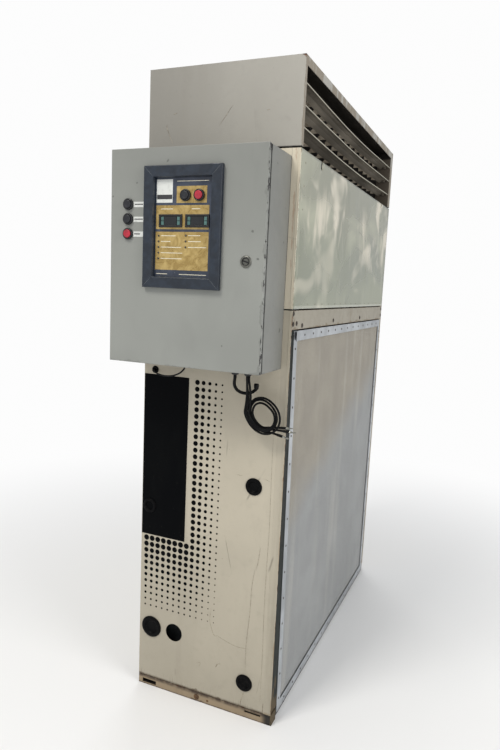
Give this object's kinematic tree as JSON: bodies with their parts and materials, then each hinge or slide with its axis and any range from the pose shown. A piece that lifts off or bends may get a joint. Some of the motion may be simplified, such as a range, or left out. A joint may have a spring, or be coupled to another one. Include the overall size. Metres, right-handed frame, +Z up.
{
  "type": "packaged air-cooled water chiller",
  "caption": "Tall narrow chiller cabinet with a side air filter and condenser, a louvred discharge hood on top and a hinged control enclosure on the front.",
  "frame": {"origin": "centre of the base's footprint, on the floor", "axes": "+Z up, -Y towards the front with the control enclosure, +X towards the side with the air filter"},
  "size_m": [0.5152, 1.303, 1.85],
  "materials": {
    "cream_paint": "satin enamel, scratched and rusty at its edges",
    "side_sheet": "greenish grey semi-gloss, slightly wavy",
    "dark_strip": "dirty dark steel",
    "galvanised": "dull zinc",
    "filter_frame": "mill finish, riveted",
    "filter_media": "woven mesh, dust-stained brown above",
    "fin_pack": "fine fins",
    "blade_paint": "dirty dark bronze",
    "enclosure_grey": "textured powder coat, chipped at its edges",
    "black_plastic": "moulded",
    "black_rubber": "matt",
    "cable_sheath": "smooth vinyl",
    "copper": "drawn copper tube",
    "black_enamel": "gloss enamel",
    "insulation": "closed-cell foam sheet",
    "fascia_print": "dark blue film with gold areas",
    "red_plastic": "moulded",
    "chrome": "worn plate"
  },
  "bodies": {
    "cabinet": {"base_frame": "cream_paint", "floor_pan": "galvanised", "post_front_left": "cream_paint", "post_rear_left": "cream_paint", "post_front_right": "dark_strip", "post_rear_right": "cream_paint", "front_lower_panel": "cream_paint", "front_edge_trim": "cream_paint", "front_upper_panel": "cream_paint", "pipe_grommet_upper_left": "black_rubber", "pipe_grommet_lower_left": "black_rubber", "pipe_grommet_upper_right": "black_rubber", "pipe_grommet_lower_right": "black_rubber", "left_lower_panel": "cream_paint", "left_upper_panel": "cream_paint", "right_upper_panel": "side_sheet", "rear_panel": "cream_paint", "side_cross_rail": "cream_paint", "filter_frame": "filter_frame", "filter_media": "filter_media", "condenser_coil": "fin_pack", "fan_deck": "galvanised", "fan_motor_front": "black_enamel", "fan_motor_rear": "black_enamel", "compressor": "black_enamel", "suction_line": "copper", "discharge_line": "copper", "water_tank": "insulation", "plate_evaporator": "insulation", "water_pump": "black_enamel", "hood_shell": "cream_paint", "vane_bank_front": "galvanised", "vane_bank_rear": "galvanised", "enclosure_body": "enclosure_grey", "mounting_plate": "galvanised", "contactor_row": "black_plastic", "door_hinge": "enclosure_grey", "cable_glands": "black_plastic", "supply_coil": "cable_sheath", "supply_drop": "cable_sheath", "supply_tail": "cable_sheath", "loop_cable": "cable_sheath", "sensor_lead": "cable_sheath"},
    "door": {"enclosure_door": "enclosure_grey", "window_frame": "black_plastic", "control_fascia": "fascia_print", "controller_left": "black_plastic", "controller_right": "black_plastic"},
    "lock": {"lock_core": "chrome"},
    "button_upper": {"door_button_upper": "black_plastic"},
    "button_middle": {"door_button_middle": "black_plastic"},
    "button_lower": {"door_button_lower": "red_plastic"},
    "button_left": {"fascia_button_left": "black_plastic"},
    "button_right": {"fascia_button_right": "red_plastic"},
    "blade_1": {"outlet_blade_1": "blade_paint"},
    "blade_2": {"outlet_blade_2": "blade_paint"},
    "blade_3": {"outlet_blade_3": "blade_paint"},
    "propeller_front": {"fan_propeller_front": "fin_pack"},
    "propeller_rear": {"fan_propeller_rear": "fin_pack"}
  },
  "joints": [
    {"name": "door_swing", "type": "hinge", "parent": "cabinet", "child": "door", "pos_m": [-0.2465, -0.7067, 1.331], "axis": [0, 0, -1], "range_deg": [0, 120]},
    {"name": "lock_turn", "type": "hinge", "parent": "door", "child": "lock", "pos_m": [0.155, -0.721, 1.3295], "axis": [0, -1, 0], "range_deg": [0, 90]},
    {"name": "upper_press", "type": "slide", "parent": "door", "child": "button_upper", "axis": [0, 1, 0], "range_m": [0, 0.004], "stiffness_N_per_m": 600},
    {"name": "middle_press", "type": "slide", "parent": "door", "child": "button_middle", "axis": [0, 1, 0], "range_m": [0, 0.004], "stiffness_N_per_m": 600},
    {"name": "lower_press", "type": "slide", "parent": "door", "child": "button_lower", "axis": [0, 1, 0], "range_m": [0, 0.004], "stiffness_N_per_m": 600},
    {"name": "left_press", "type": "slide", "parent": "door", "child": "button_left", "axis": [0, 1, 0], "range_m": [0, 0.004], "stiffness_N_per_m": 600},
    {"name": "right_press", "type": "slide", "parent": "door", "child": "button_right", "axis": [0, 1, 0], "range_m": [0, 0.004], "stiffness_N_per_m": 600},
    {"name": "blade_1_tilt", "type": "hinge", "parent": "cabinet", "child": "blade_1", "pos_m": [0.2045, 0, 1.788], "axis": [0, 1, 0], "range_deg": [-35, 35]},
    {"name": "blade_2_tilt", "type": "hinge", "parent": "cabinet", "child": "blade_2", "pos_m": [0.2045, 0, 1.734], "axis": [0, 1, 0], "range_deg": [-35, 35]},
    {"name": "blade_3_tilt", "type": "hinge", "parent": "cabinet", "child": "blade_3", "pos_m": [0.2045, 0, 1.68], "axis": [0, 1, 0], "range_deg": [-35, 35]},
    {"name": "front_fan_spin", "type": "hinge", "parent": "cabinet", "child": "propeller_front", "pos_m": [0, -0.268, 1.388], "axis": [0, 0, 1], "continuous": true},
    {"name": "rear_fan_spin", "type": "hinge", "parent": "cabinet", "child": "propeller_rear", "pos_m": [0, 0.268, 1.388], "axis": [0, 0, 1], "continuous": true}
  ]
}
